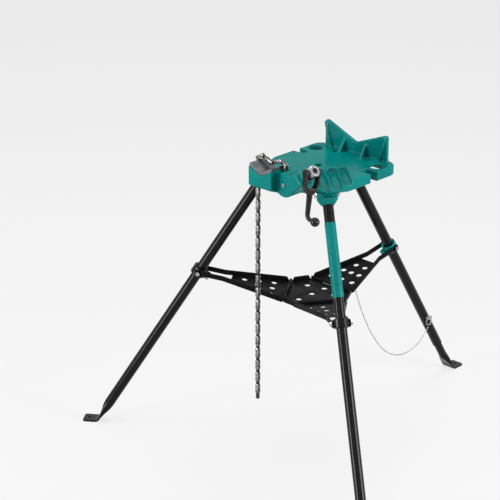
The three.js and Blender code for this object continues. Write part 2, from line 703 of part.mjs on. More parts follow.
function legSocket() {
  const low = -SOCKET_DEPTH;
  const cup = turned([
    [0, low], [TUBE_R + 3, low], [TUBE_R + 6, low + 3], [SOCKET_R - 1, -17], [SOCKET_R - 2, -13], [0, -13],
  ], [0, 0, 0], [0, 0, 1], 24).intersect(box(-20, 20, -40, 40, low - 5, 0));
  const half = SOCKET_R - 0.5;
  const slot = TONGUE_T / 2 + GAP;
  return tilted(cut(
    join(cup, rod(HUB_R, [0, -SOCKET_R, 0], [0, SOCKET_R, 0], 20), box(-9, 9, -half, half, -16, 0)),
    box(-40, 40, -slot, slot, -FORK_DEPTH, 30),
    rod(TUBE_R + GAP, [0, 0, -TUBE_TOP], [0, 0, low - 5], 20),
    rod(PIVOT_PIN_D / 2 + GAP, [0, -40, 0], [0, 40, 0], 16),
  ));
}

function pivotPin() {
  const half = SOCKET_R + GAP;
  return join(
    rod(PIVOT_PIN_D / 2, [0, -half - 2, 0], [0, half + 2, 0], 16),
    rod(PIVOT_PIN_D * 0.85, [0, half, 0], [0, half + 6, 0], 6),
    rod(PIVOT_PIN_D * 0.85, [0, -half, 0], [0, -half - 6, 0], 6),
  );
}

function collar() {
  const z = -COLLAR_AT;
  const half = COLLAR_L / 2;
  const ring = rod(COLLAR_R, [0, 0, z - half], [0, 0, z + half], 20);
  const bosses = rod(10, [0, -COLLAR_HALF_W, z], [0, COLLAR_HALF_W, z], 12);
  const ear = box(-COLLAR_R - 12, -TUBE_R, -8, 8, z - half + 3, z + half - 3);
  return tilted(cut(
    join(ring, bosses, ear),
    rod(TUBE_R + GAP, [0, 0, z - 40], [0, 0, z + 40], 20),
    box(-COLLAR_R - 20, -TUBE_R + 2, -1.5, 1.5, z - 30, z + 30),
    rod(3.5 + GAP, [-COLLAR_R - 5, -30, z], [-COLLAR_R - 5, 30, z], 10),
  ));
}

function collarBolt() {
  const x = -COLLAR_R - 5;
  const z = -COLLAR_AT;
  return tilted(join(
    rod(3.5, [x, -13, z], [x, 13, z], 10),
    rod(6.5, [x, 8 + GAP, z], [x, 13, z], 6),
    rod(6.5, [x, -8 - GAP, z], [x, -13, z], 6),
  ));
}

function legBand() {
  const inner = TUBE_R + GAP;
  return tilted(cut(
    rod(inner + BAND_T, [0, 0, -BAND_FROM], [0, 0, -BAND_TO], 20),
    rod(inner, [0, 0, -BAND_FROM + 5], [0, 0, -BAND_TO - 5], 20),
  ));
}

// Tray, each hinge drawn about its rod: X outwards, Z up.
const sheetZ = [-KNUCKLE_R - SHEET_T, -KNUCKLE_R];
const PLATE_KNUCKLES = [[-72, -34], [34, 72]];
const WING_KNUCKLES = [[-33.6, 33.6]];

function knuckles(spans, inwards) {
  const reach = [inwards ? -9 : 0, inwards ? 0 : 9];
  return spans.flatMap(([a, b]) => [
    rod(KNUCKLE_R, [0, a, 0], [0, b, 0], 8),
    box(reach[0], reach[1], a, b, sheetZ[0], -ROD_D / 2 - 0.8),
  ]);
}

const rodBore = () => rod(ROD_D / 2 + GAP, [0, -100, 0], [0, 100, 0], 8);

function drain(x, y) {
  return rod(DRAIN_D / 2, [x, y, sheetZ[0] - 5], [x, y, sheetZ[1] + 5], 8);
}

function trayCentre() {
  const edge = HINGE_R - 2;
  const corners = [];
  for (const angle of Object.values(LEG_ANGLES)) {
    for (const t of [-HINGE_HALF, HINGE_HALF]) {
      const p = new THREE.Vector2(edge, t).rotateAround(new THREE.Vector2(0, 0), deg(angle));
      corners.push([p.x, p.y]);
    }
  }
  const plate = plan(corners, ...sheetZ);
  const lips = [1, 3, 5].map((i) => {
    const a = new THREE.Vector2(...corners[i]);
    const b = new THREE.Vector2(...corners[(i + 1) % 6]);
    const inn = new THREE.Vector2(a.y - b.y, b.x - a.x).setLength(SHEET_T);
    return plan([a, b, b.clone().add(inn), a.clone().add(inn)].map((p) => [p.x, p.y]),
      sheetZ[0], sheetZ[0] + LIP_H);
  });
  const holes = [[0, -8], [0, 46], [-52, 30], [52, 30], [0, -64]].map(([x, y]) => drain(x, y));
  const hinges = Object.values(LEG_ANGLES).map((angle) => (
    turnZ(cut(join(knuckles(PLATE_KNUCKLES, true)), rodBore()).translate([HINGE_R, 0, 0]), angle)
  ));
  return join(cut(join(plate, lips), holes), hinges);
}

function trayWing() {
  const tip = COLLAR_HALF_W + GAP;
  const out = tip + WING_ARM_T;
  const end = WING_L + 10;
  const sheetEnd = WING_L - WING_CROTCH;
  const bend = sheetEnd + 22;
  const sheet = plan([
    [2, -HINGE_HALF], [8, -HINGE_HALF], [sheetEnd, -out - 6], [sheetEnd, out + 6],
    [8, HINGE_HALF], [2, HINGE_HALF],
  ], ...sheetZ);
  const top = sheetZ[0] + LIP_H + 1;
  const arms = [-1, 1].flatMap((s) => [
    plan([
      [8, s * HINGE_HALF], [bend, s * out], [end, s * out], [end, s * tip], [bend - 0.6, s * tip],
      [8, s * (HINGE_HALF - WING_ARM_T)],
    ], sheetZ[0], top),
    rod(11, [WING_L, s * tip, 0], [WING_L, s * out, 0], 12),
  ]);
  const holes = [];
  for (const [x, ys] of [[44, [-40, 0, 40]], [88, [-30, 0, 30]], [130, [-17, 17]]]) {
    for (const y of ys) holes.push(drain(x, y));
  }
  const bolts = rod(WING_BOLT_D / 2 + GAP, [WING_L, -60, 0], [WING_L, 60, 0], 10);
  return cut(
    join(cut(sheet, holes), arms, knuckles(WING_KNUCKLES, false)),
    rodBore(),
    bolts,
  );
}

const hingeRod = () => rod(ROD_D / 2, [0, -75, 0], [0, 75, 0], 8);

function wingBolt(s) {
  const tip = COLLAR_HALF_W + GAP;
  const face = tip + WING_ARM_T + GAP;
  return join(
    rod(WING_BOLT_D / 2, [WING_L, s * (tip + GAP), 0], [WING_L, s * (face + 2), 0], 10),
    rod(WING_BOLT_D * 0.85, [WING_L, s * face, 0], [WING_L, s * (face + 6), 0], 6),
  );
}

// Lanyard from the near corner of the rear wing, sagging to the pin ring.
function lanyard() {
  const points = [
    [79.8, 93, 468], [80.4, 100, 446], [80.6, 115, 408], [79, 132, 373], [77, 150, 343], [75, 166, 315],
    [72, 185, 289], [70, 205, 263], [67, 226, 239], [64, 250, 217], [61, 275, 198], [57, 303, 182],
    [53, 333, 169], [49, 364, 162], [45, 396, 160], [41, 428, 164], [36, 459, 172], [30, 490, 187],
    [21.7, 516, 199.3],
  ].map((p) => new THREE.Vector3(...p));
  const curve = new THREE.CatmullRomCurve3(points);
  const frames = curve.computeFrenetFrames(26);
  const rings = [];
  for (let i = 0; i <= 26; i += 1) {
    const at = curve.getPoint(i / 26);
    const ring = [];
    for (let j = 0; j < 6; j += 1) {
      const a = (j / 6) * 2 * Math.PI;
      ring.push(at.clone()
        .addScaledVector(frames.normals[i], 1.5 * Math.cos(a))
        .addScaledVector(frames.binormals[i], 1.5 * Math.sin(a)));
    }
    rings.push(ring);
  }
  return loft(rings);
}

// Assembly.

const finishes = {
  enamel: { color: 0x04877f, metalness: 0.1, roughness: 0.28 },
  tube: { color: 0x17181a, metalness: 0.2, roughness: 0.3 },
  tray: { color: 0x1d1e20, metalness: 0.2, roughness: 0.55 },
  oxide: { color: 0x2a2a2b, metalness: 0.7, roughness: 0.5 },
  bright: { color: 0xc9ccd0, metalness: 1, roughness: 0.25 },
  chain: { color: 0x8d8b86, metalness: 1, roughness: 0.42 },
  jaw: { color: 0x55575a, metalness: 0.9, roughness: 0.5 },
};

const stand = new THREE.Group();
stand.name = 'pipe_vise_stand';

function place(parent, name, made, finish) {
  const mesh = new THREE.Mesh(geometryOf(made), new THREE.MeshStandardMaterial(finishes[finish]));
  mesh.name = name;
  parent.add(mesh);
}

function frameAt(angle, radius, height, tiltDeg = 0) {
  const spot = new THREE.Group();
  spot.position.set(radius * Math.cos(deg(angle)), radius * Math.sin(deg(angle)), height);
  spot.rotation.set(0, 0, deg(angle));
  const inner = new THREE.Group();
  inner.rotation.y = -deg(tiltDeg);
  spot.add(inner);
  stand.add(spot);
  return inner;
}

place(stand, 'base_casting', baseCasting(), 'enamel');
place(stand, 'jaw', jaw(), 'jaw');
place(stand, 'chain_roller', chainRoller(), 'bright');
place(stand, 'draw_screw', drawScrew(), 'bright');
place(stand, 'crank_nut', crankNut(), 'bright');
place(stand, 'crank_handle', crankHandle(), 'oxide');

const runs = {
  chain_draw_link: [0, 1], chain_anchor: [1, 5], chain_span: [5, 12], chain_tail_1: [12, 20],
  chain_tail_2: [20, 28], chain_tail_3: [28, 36], chain_tail_4: [36, 43], chain_tail_5: [43, 50],
};
for (const [name, [first, last]] of Object.entries(runs)) place(stand, name, chainRun(first, last), 'chain');

for (const [key, angle] of Object.entries(LEG_ANGLES)) {
  const leg = frameAt(angle, PIVOT_R, PIVOT_Z);
  place(leg, `leg_socket_${key}`, legSocket(), 'enamel');
  place(leg, `leg_pivot_pin_${key}`, pivotPin(), 'bright');
  if (key === 'rear') {
    place(leg, 'leg_rear_upper', rearUpper(), 'tube');
    place(leg, 'leg_rear_lower', rearLower(), 'tube');
    place(leg, 'lock_pin', lockPin(), 'bright');
    place(leg, 'pin_ring', pinRing(), 'bright');
  } else {
    place(leg, `leg_${key}`, footedTube(TUBE_TOP + GAP, TUBE_R), 'tube');
  }
  if (key === 'near') place(leg, 'leg_band', legBand(), 'enamel');
  place(leg, `collar_${key}`, collar(), 'enamel');
  place(leg, `collar_bolt_${key}`, collarBolt(), 'bright');

  const wing = frameAt(angle, HINGE_R, HINGE_Z, WING_SLOPE_DEG);
  place(wing, `tray_wing_${key}`, trayWing(), 'tray');
  place(wing, `wing_bolt_${key}_a`, wingBolt(1), 'bright');
  place(wing, `wing_bolt_${key}_b`, wingBolt(-1), 'bright');
  place(wing, `tray_hinge_rod_${key}`, hingeRod(), 'bright');
}

const centre = new THREE.Group();
centre.position.z = HINGE_Z;
stand.add(centre);
place(centre, 'tray_centre', trayCentre(), 'tray');
place(stand, 'lanyard', lanyard(), 'bright');

// The origin is the middle of the footprint, on the floor.
stand.updateMatrixWorld(true);
const footprint = new THREE.Box3().setFromObject(stand, true).getCenter(new THREE.Vector3());
stand.position.set(-footprint.x, -footprint.y, 0);

export default stand;
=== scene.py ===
# %% [markdown]
# # A tripod pipe vise stand
# A pipe fitter's stand: a cast head on three tube legs, with a chain vise at its nose, a bender
# on one side, a V rest at the back and a folding tray between the legs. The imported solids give
# every place and size. This lesson dresses them: fillets on castings, round holes in sheet, real
# chain links, and finishes.

# %% Load the frame
import json
import math

import bmesh
import bpy
from mathutils import Matrix, Vector


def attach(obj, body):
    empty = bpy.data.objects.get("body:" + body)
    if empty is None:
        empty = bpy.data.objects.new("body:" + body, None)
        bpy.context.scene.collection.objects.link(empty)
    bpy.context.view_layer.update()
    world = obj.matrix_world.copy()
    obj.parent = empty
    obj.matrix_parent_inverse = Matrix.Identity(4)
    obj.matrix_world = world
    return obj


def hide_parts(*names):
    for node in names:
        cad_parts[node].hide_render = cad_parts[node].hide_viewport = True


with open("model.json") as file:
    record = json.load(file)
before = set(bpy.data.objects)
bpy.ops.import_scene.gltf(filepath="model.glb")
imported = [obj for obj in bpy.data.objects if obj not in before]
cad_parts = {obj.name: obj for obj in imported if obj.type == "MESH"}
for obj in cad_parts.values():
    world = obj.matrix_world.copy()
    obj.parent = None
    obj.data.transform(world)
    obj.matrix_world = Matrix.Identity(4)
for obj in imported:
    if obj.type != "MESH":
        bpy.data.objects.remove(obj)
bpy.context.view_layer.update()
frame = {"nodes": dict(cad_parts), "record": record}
scene = bpy.context.scene
scene.view_settings.view_transform = "Standard"

# %% [markdown]
# ## Camera
# The stand is seen from its crank side, a little from above, with a long lens that hardly bends
# the legs. Points are written in millimetres from the middle of the tripod, as on a drawing. The
# shared frame has its middle under the whole footprint, so one helper shifts them and turns them
# into metres.

# %% Camera
MM = 0.001
FOOTPRINT_SHIFT = -143.84153
EYE, AIM = (3592.7, -3996.1, 2748.2), (-133.9, -129.0, 596.9)


def spot(x, y, z):
    return Vector((x, y + FOOTPRINT_SHIFT, z)) * MM


camera_data = bpy.data.cameras.new("camera")
camera_data.sensor_width = 36
camera_data.lens = 144
camera_data.clip_end = 60
camera = bpy.data.objects.new("camera", camera_data)
scene.collection.objects.link(camera)
camera.location = spot(*EYE)
view_line = spot(*AIM) - camera.location
camera.rotation_euler = view_line.to_track_quat("-Z", "Y").to_euler()
scene.camera = camera
print("camera stands", round(view_line.length, 2), "m from its aim")

# %% [markdown]
# ## Helpers for pieces
# A finished piece keeps its object at the origin, with its place in its mesh. `piece` makes the
# object, hangs it on a body of the frame, hides the solid that it stands for and names its
# finish. `mesh_of` closes a bmesh: its faces point outwards, and it shades smoothly up to a
# chosen angle.

# %% Piece helpers
made = []
SMOOTH_BELOW = 35


def piece(name, mesh, body, finish, stands_for=()):
    obj = bpy.data.objects.new(name, mesh)
    scene.collection.objects.link(obj)
    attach(obj, body)
    if stands_for:
        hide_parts(*stands_for)
    made.append((obj, finish))
    return obj


def mesh_of(bm, name, smooth_below=SMOOTH_BELOW):
    bmesh.ops.recalc_face_normals(bm, faces=bm.faces)
    mesh = bpy.data.meshes.new(name)
    bm.to_mesh(mesh)
    bm.free()
    mesh.shade_smooth()
    mesh.set_sharp_from_angle(angle=math.radians(smooth_below))
    return mesh


bodies = frame["record"]["behaviour"]["bodies"]
body_of_node = {node: body for body, nodes in bodies.items() for node in nodes}
slot_of_node = {s["node"]: s["material_slot"] for s in frame["record"]["subparts"]}

# %% [markdown]
# ## Lanyard
# A thin jack chain ties the lock pin to the rear wing, so that the pin can't be lost. It hangs
# between its two ends in a catenary. The route repeats the points of the solid, and a smooth
# curve through them gives its length.

# %% Lanyard route
LANYARD = [
    (79.8, 93, 468), (80.4, 100, 446), (80.6, 115, 408), (79, 132, 373), (77, 150, 343),
    (75, 166, 315), (72, 185, 289), (70, 205, 263), (67, 226, 239), (64, 250, 217), (61, 275, 198),
    (57, 303, 182), (53, 333, 169), (49, 364, 162), (45, 396, 160), (41, 428, 164), (36, 459, 172),
    (30, 490, 187), (21.7, 516, 199.3),
]


def smooth_route(points, steps=6):
    ends = [points[0] * 2 - points[1], *points, points[-1] * 2 - points[-2]]
    route = []
    for a, b, c, d in zip(ends, ends[1:], ends[2:], ends[3:]):
        for i in range(steps):
            t = i / steps
            route.append(0.5 * (2 * b + (c - a) * t + (2 * a - 5 * b + 4 * c - d) * t * t
                                + (3 * b - a - 3 * c + d) * t * t * t))
    route.append(points[-1].copy())
    return route


def along(route, distance):
    for a, b in zip(route, route[1:]):
        step = (b - a).length
        if distance <= step:
            return a.lerp(b, distance / step), (b - a).normalized()
        distance -= step
    return route[-1].copy(), (route[-1] - route[-2]).normalized()


lanyard_route = smooth_route([spot(*p) for p in LANYARD])
lanyard_length = sum((b - a).length for a, b in zip(lanyard_route, lanyard_route[1:]))
print("lanyard", round(lanyard_length, 3), "m")

# %% [markdown]
# A curve with a round bevel would make a cord, but a chain needs its own links. So one oval link
# is spun from a small circle of wire and set along the route, every second one turned by a
# quarter.

# %% Lanyard links
LINK_LENGTH, LINK_WIDTH, LINK_WIRE = 0.0075, 0.0042, 0.0013
LINK_STEP = 0.0056
QUARTER_TURN, FULL_TURN = math.pi / 2, 2 * math.pi
ALL_SMOOTH = 180
TINY = 1e-7


def oval_link():
    bm = bmesh.new()
    wire = bmesh.ops.create_circle(bm, segments=6, radius=LINK_WIRE / 2)["verts"]
    bmesh.ops.rotate(bm, verts=wire, matrix=Matrix.Rotation(QUARTER_TURN, 3, "X"))
    bmesh.ops.translate(bm, verts=wire, vec=((LINK_WIDTH - LINK_WIRE) / 2, 0, 0))
    bmesh.ops.spin(bm, geom=bm.verts[:] + bm.edges[:], cent=(0, 0, 0), axis=(0, 0, 1),
                   angle=FULL_TURN, steps=12, use_merge=True)
    for vert in bm.verts:
        if abs(vert.co.x) > TINY:
            vert.co.x += math.copysign((LINK_LENGTH - LINK_WIDTH) / 2, vert.co.x)
    bmesh.ops.remove_doubles(bm, verts=bm.verts, dist=TINY)
    return mesh_of(bm, "oval_link", ALL_SMOOTH)


link_mesh = oval_link()
bm = bmesh.new()
link_count = int(lanyard_length / LINK_STEP)
for i in range(link_count):
    middle, ahead = along(lanyard_route, (i + 0.5) * LINK_STEP)
    old = len(bm.verts)
    bm.from_mesh(link_mesh)
    bm.verts.ensure_lookup_table()
    turn = (ahead.to_track_quat("X", "Z").to_matrix().to_4x4()
            @ Matrix.Rotation(QUARTER_TURN * (i % 2), 4, "X"))
    bmesh.ops.transform(bm, matrix=Matrix.Translation(middle) @ turn, verts=bm.verts[old:])
lanyard = piece("lanyard_chain", mesh_of(bm, "lanyard_chain", ALL_SMOOTH), "wing_rear", "bright",
                ["lanyard"])
print(link_count, "links")

# %% [markdown]
# ## Castings and forgings
# Sand castings have no sharp edges: every corner is rounded and every inside corner is filled.
# Beveling the edges of a solid made of cuts leaves slivers, so a copy of the solid is remeshed
# into small even squares and relaxed a little, which rounds outside and inside corners alike. The
# forged crank is slimmer, so its squares are finer. Two collars are painted black like the tubes.

# %% Castings
MERGE = 2e-6
LEG_ANGLES = {"rear": 90, "left": 215, "near": 325}


def merged_copy(node):
    bm = bmesh.new()
    bm.from_mesh(frame["nodes"][node].data)
    bmesh.ops.remove_doubles(bm, verts=bm.verts, dist=MERGE)
    return bm


def casting(node, grain, relax, finish=None):
    bm = merged_copy(node)
    mesh = bpy.data.meshes.new(node)
    bm.to_mesh(mesh)
    bm.free()
    mesh.shade_smooth()
    obj = piece(node + "_cast", mesh, body_of_node[node], finish or slot_of_node[node], [node])
    remesh = obj.modifiers.new("even_squares", "REMESH")
    remesh.mode = "VOXEL"
    remesh.voxel_size = grain
    remesh.use_smooth_shade = True
    soften = obj.modifiers.new("rounded_corners", "SMOOTH")
    soften.factor = 0.5
    soften.iterations = relax


casting("base_casting", grain=0.0021, relax=6)
casting("crank_handle", grain=0.0009, relax=14)
for side in LEG_ANGLES:
    casting("leg_socket_" + side, grain=0.0011, relax=6)
    casting("collar_" + side, grain=0.0010, relax=5, finish="enamel" if side == "rear" else "tube")
print(len(made), "pieces so far")

# %% [markdown]
# ## Turned and cut pieces
# Bolts, pins, the nut, the roller and the jaw are machined: flat faces, round bores and small
# even chamfers. They could be spun again from profiles, but the solids have these shapes already.
# So a merged copy of each gets a narrow bevel and smooth shading between its sharp edges.

# %% Machined pieces
SHARP_EDGE, FLAT = 34, 1


def machined(node, edge, finish=None):
    bm = merged_copy(node)
    bmesh.ops.dissolve_limit(bm, angle_limit=math.radians(FLAT), verts=bm.verts, edges=bm.edges)
    mesh = mesh_of(bm, node, SHARP_EDGE)
    obj = piece(node + "_cut", mesh, body_of_node[node], finish or slot_of_node[node], [node])
    chamfer = obj.modifiers.new("chamfer", "BEVEL")
    chamfer.width = edge
    chamfer.segments = 2
    chamfer.limit_method = "ANGLE"
    chamfer.angle_limit = math.radians(SHARP_EDGE)
    chamfer.harden_normals = True


for node in ("jaw", "chain_roller", "crank_nut", "lock_pin", "pin_ring", "leg_band"):
    machined(node, edge=0.0004)
machined("draw_screw", edge=0.0004, finish="oxide")
for side in LEG_ANGLES:
    machined("leg_pivot_pin_" + side, edge=0.0005)
    machined("collar_bolt_" + side, edge=0.0005)
    machined("tray_hinge_rod_" + side, edge=0.0003)
    for end in "ab":
        machined(f"wing_bolt_{side}_{end}", edge=0.0005)
print(len(made), "pieces so far")

# %% [markdown]
# ## Legs
# Each leg is a steel tube, pressed flat and bent at the foot. A curve with a round bevel would
# make the tube, but its end has to go flat. So a circle of vertices is extruded from ring to
# ring: round along the tube, then squeezed to a flat pad that turns to lie on the floor and ends
# in a square toe. A ring is its centre, its tilt, and its half thickness and half width.

# %% Foot shape
SPLAY = math.radians(31.9)
PIVOT_R, PIVOT_Z = 147, 820
PAD_HALF_THICK, PAD_HALF_WIDE, PAD_REACH, PAD_CORNER = 3, 22, 45, 6
PRESS_START, PRESS_END, BEND_R, END_BAND = 72, 11, 16, 3
PRESS_STEPS, BEND_STEPS, CORNER_STEPS = 14, 8, 6
FOOT_DROP = PIVOT_Z - PAD_HALF_THICK
KNEE = FOOT_DROP / math.cos(SPLAY)
KNEE_X = KNEE * math.sin(SPLAY)


def pressed_rings(start, radius):
    stations = [(start, radius, radius), (start + END_BAND, radius, radius)]
    for i in range(PRESS_STEPS + 1):
        t = i / PRESS_STEPS
        ease = t * t * (3 - 2 * t)
        stations.append((KNEE - PRESS_START + (PRESS_START - PRESS_END) * t,
                         radius + (PAD_HALF_THICK - radius) * ease,
                         radius + (PAD_HALF_WIDE - radius) * ease))
    return [((s * math.sin(SPLAY), -s * math.cos(SPLAY)), SPLAY, thick, wide)
            for s, thick, wide in stations]


def foot_rings():
    rings = []
    bend = QUARTER_TURN - SPLAY
    middle = (KNEE_X + BEND_R * math.tan(bend / 2), -FOOT_DROP + BEND_R)
    for i in range(BEND_STEPS + 1):
        tilt = SPLAY + bend * i / BEND_STEPS
        centre = (middle[0] - BEND_R * math.cos(tilt), middle[1] - BEND_R * math.sin(tilt))
        rings.append((centre, tilt, PAD_HALF_THICK, PAD_HALF_WIDE))
    for i in range(CORNER_STEPS + 1):
        turn = i / CORNER_STEPS * QUARTER_TURN
        reach = PAD_REACH - PAD_CORNER * (1 - math.sin(turn))
        half = PAD_HALF_WIDE - PAD_CORNER * (1 - math.cos(turn))
        rings.append(((KNEE_X + reach, -FOOT_DROP), QUARTER_TURN, PAD_HALF_THICK, half))
    return rings


print("knee", round(KNEE), "mm down the leg,", len(foot_rings()), "rings in a foot")

# %% Tube helpers


def pressed_tube(rings, segments=32):
    bm = bmesh.new()
    verts = bmesh.ops.create_circle(bm, cap_ends=True, segments=segments, radius=1)["verts"]
    angles = [(i + 0.5) / segments * FULL_TURN for i in range(segments)]

    def place(ring_verts, ring):
        (x, z), tilt, thick, wide = ring
        for vert, angle in zip(ring_verts, angles):
            lift = max(-thick, min(thick, wide * math.sin(angle)))
            vert.co = Vector((x + lift * math.cos(tilt), wide * math.cos(angle),
                              z + lift * math.sin(tilt))) * MM

    place(verts, rings[0])
    edges = bm.edges[:]
    for ring in rings[1:]:
        grown = bmesh.ops.extrude_edge_only(bm, edges=edges)["geom"]
        new_verts = {g for g in grown if isinstance(g, bmesh.types.BMVert)}
        next_of = {vert: edge.other_vert(vert) for vert in verts for edge in vert.link_edges
                   if edge.other_vert(vert) in new_verts}
        verts = [next_of[vert] for vert in verts]
        place(verts, ring)
        edges = [g for g in grown if isinstance(g, bmesh.types.BMEdge)
                 and all(vert in new_verts for vert in g.verts)]
    bm.faces.new(verts)
    return bm


def drill(obj, centre, axis, radius, depth):
    bm = bmesh.new()
    bmesh.ops.create_cone(bm, cap_ends=True, segments=28, radius1=radius, radius2=radius,
                          depth=depth)
    turn = Vector(axis).to_track_quat("Z", "Y").to_matrix().to_4x4()
    bmesh.ops.transform(bm, matrix=Matrix.Translation(centre) @ turn, verts=bm.verts)
    bit = bpy.data.objects.new("drill", mesh_of(bm, "drill"))
    scene.collection.objects.link(bit)
    cutter = obj.modifiers.new("drill", "BOOLEAN")
    cutter.object = bit
    cutter.operation = "DIFFERENCE"
    cutter.solver = "EXACT"
    bpy.context.view_layer.update()
    evaluated = obj.evaluated_get(bpy.context.evaluated_depsgraph_get())
    drilled = bpy.data.meshes.new_from_object(evaluated)
    obj.modifiers.clear()
    obj.data = drilled
    bpy.data.objects.remove(bit)
    obj.data.shade_smooth()
    obj.data.set_sharp_from_angle(angle=math.radians(SMOOTH_BELOW))


print("tube helpers ready")

# %% Leg tubes
TUBE_TOP, TUBE_R = 16.3, 15
INNER_TUBE_TOP, INNER_TUBE_R = 702.8, 12.5
PAD_HOLE_AT = 28
PAD_HOLE_R, DRILL_DEPTH = 0.0045, 0.02
LEG_TUBES = {
    "leg_left": ("left", TUBE_TOP, TUBE_R), "leg_near": ("near", TUBE_TOP, TUBE_R),
    "leg_rear_lower": ("rear", INNER_TUBE_TOP, INNER_TUBE_R),
}


def out_from_middle(side):
    return (Matrix.Translation((0, FOOTPRINT_SHIFT * MM, 0))
            @ Matrix.Rotation(math.radians(LEG_ANGLES[side]), 4, "Z"))


for node, (side, start, radius) in LEG_TUBES.items():
    bm = pressed_tube(pressed_rings(start, radius) + foot_rings())
    at_pivot = out_from_middle(side) @ Matrix.Translation((PIVOT_R * MM, 0, PIVOT_Z * MM))
    bmesh.ops.transform(bm, matrix=at_pivot, verts=bm.verts)
    leg = piece(node + "_tube", mesh_of(bm, node), body_of_node[node], "tube", [node])
    hole = at_pivot @ Vector(((KNEE_X + PAD_HOLE_AT) * MM, 0, -FOOT_DROP * MM))
    drill(leg, hole, (0, 0, 1), PAD_HOLE_R, DRILL_DEPTH)
machined("leg_rear_upper", edge=0.0006)
print("legs done,", len(made), "pieces")

# %% [markdown]
# ## Vise chain
# The chain is a leaf chain: pairs of outer plates and packs of inner plates turn on riveted pins.
# It runs from the draw screw round the roller, over the jaw and down. An array on a curve would
# stretch its links, so the place of every pin is listed, and each plate is set from one pin to
# the next.

# %% Chain path
CHAIN_Y = -180
PITCH = 19.05
PLATE_R = 5.5
DRAW = math.radians(40)
ROLLER_X, ROLLER_Z, ROLLER_R, ROLLER_GAP = 66, 866, 9, 0.46
ROLLER_PATH = ROLLER_R + PLATE_R + ROLLER_GAP
FIRST_PIN = 9.53
CHAIN_TOP = [
    (ROLLER_X + math.sin(DRAW) * ROLLER_PATH + FIRST_PIN * math.cos(DRAW),
     ROLLER_Z - math.cos(DRAW) * ROLLER_PATH + FIRST_PIN * math.sin(DRAW)),
    (68.3, 848.4), (51.05, 856.5), (51.05, 875.55), (51.05, 894.6), (51.05, 913.65),
    (34.55, 923.2), (16.9, 916.1), (-1, 909.6), (-18.9, 916.1), (-36.6, 923.2), (-53.1, 913.7),
]


def chain_joint(i):
    if i < len(CHAIN_TOP):
        return CHAIN_TOP[i]
    tail_x, tail_top = CHAIN_TOP[-1]
    return (tail_x, tail_top - (i - len(CHAIN_TOP) + 1) * PITCH)


print("first pin at", [round(v, 1) for v in CHAIN_TOP[0]])

# %% [markdown]
# One plate is an outline of two half circles with a narrow waist, extruded and beveled; one pin
# is a turned rod with a domed rivet at each end.

# %% Chain plates and pins
WAIST = [(0.72, 4.9), (0.5, 4.5), (0.28, 4.9)]
ARC_STEPS, ARC_STEP = 12, 15
PLATE_RIM, PIN_DOME, RIM_ANGLE = 0.35, 0.9, 1.2
OUTER_THICK, INNER_THICK = 2.2, 1.9
PIN_R, PIN_HALF = 3, 8.3
SAME = 1e-6


def plate_outline():
    points = []
    for x, first, side in ((PITCH, -90, 1), (0, 90, -1)):
        for i in range(ARC_STEPS + 1):
            angle = math.radians(first + ARC_STEP * i)
            points.append((x + PLATE_R * math.cos(angle), PLATE_R * math.sin(angle)))
        points += [(t * PITCH, side * y) for t, y in WAIST[::side]]
    return points


def eased(bm, edges, width, segments):
    return bmesh.ops.bevel(bm, geom=edges, offset=width * MM, offset_type="OFFSET",
                           segments=segments, profile=0.5, affect="EDGES", material=-1)


def lifted_face(bm, corners, low, high):
    face = bm.faces.new([bm.verts.new((x * MM, y * MM, low * MM)) for x, y in corners])
    grown = bmesh.ops.extrude_face_region(bm, geom=[face])["geom"]
    top = [g for g in grown if isinstance(g, bmesh.types.BMVert)]
    bmesh.ops.translate(bm, verts=top, vec=(0, 0, (high - low) * MM))
    return top


def level_edges(edges):
    return [e for e in edges if abs(e.verts[0].co.z - e.verts[1].co.z) < SAME]


def plate_mesh(thickness):
    bm = bmesh.new()
    lifted_face(bm, plate_outline(), -thickness / 2, thickness / 2)
    bmesh.ops.recalc_face_normals(bm, faces=bm.faces)
    rims = [e for e in bm.edges if len(e.link_faces) == 2 and e.calc_face_angle() > RIM_ANGLE]
    eased(bm, rims, PLATE_RIM, 1)
    return mesh_of(bm, "plate", smooth_below=50)


def pin_mesh():
    bm = bmesh.new()
    bmesh.ops.create_cone(bm, cap_ends=True, segments=16, radius1=PIN_R * MM, radius2=PIN_R * MM,
                          depth=2 * PIN_HALF * MM)
    eased(bm, level_edges(bm.edges), PIN_DOME, 3)
    return mesh_of(bm, "pin", smooth_below=60)


outer_plate, inner_plate, pin = plate_mesh(OUTER_THICK), plate_mesh(INNER_THICK), pin_mesh()
print(len(outer_plate.polygons), "faces in a plate,", len(pin.polygons), "in a pin")

# %% [markdown]
# Each run of links is one piece, as in the frame. A pin belongs to its outer plates. A value on
# the vertices paints light and shade into the colour: outer plates are coloured lit, the inner
# packs between them get a painted shade, and the pins sit halfway.

# %% Chain runs
OUTER_AT, INNER_AT = (-4.4, 4.4), (-2.05, 0, 2.05)
# Painted shade: outer plates are coloured as lit, the inner plates between them as in shade, and
# pins halfway.
LIT_PLATE, HALF_LIT_PIN, SHADED_PLATE = 1.0, 0.5, 0.0
RUNS = {
    "chain_draw_link": (0, 1), "chain_anchor": (1, 5), "chain_span": (5, 12),
    "chain_tail_1": (12, 20), "chain_tail_2": (20, 28), "chain_tail_3": (28, 36),
    "chain_tail_4": (36, 43), "chain_tail_5": (43, 50),
}


# The value stored on each vertex paints light or shade into the chain's colour: 1 lit, 0 in shade.
def add_at(bm, mesh, x, z, y, turn, lit_share):
    old = len(bm.verts)
    bm.from_mesh(mesh)
    bm.verts.ensure_lookup_table()
    layer = bm.verts.layers.float.get("lit_share") or bm.verts.layers.float.new("lit_share")
    for vert in bm.verts[old:]:
        vert[layer] = lit_share
    stand_up = Matrix.Rotation(QUARTER_TURN, 4, "X")
    lean = Matrix.Rotation(-turn, 4, "Y")
    place = Matrix.Translation(spot(x, CHAIN_Y + y, z)) @ lean @ stand_up
    bmesh.ops.transform(bm, matrix=place, verts=bm.verts[old:])


def is_outer(link):
    return link % 2 == 0


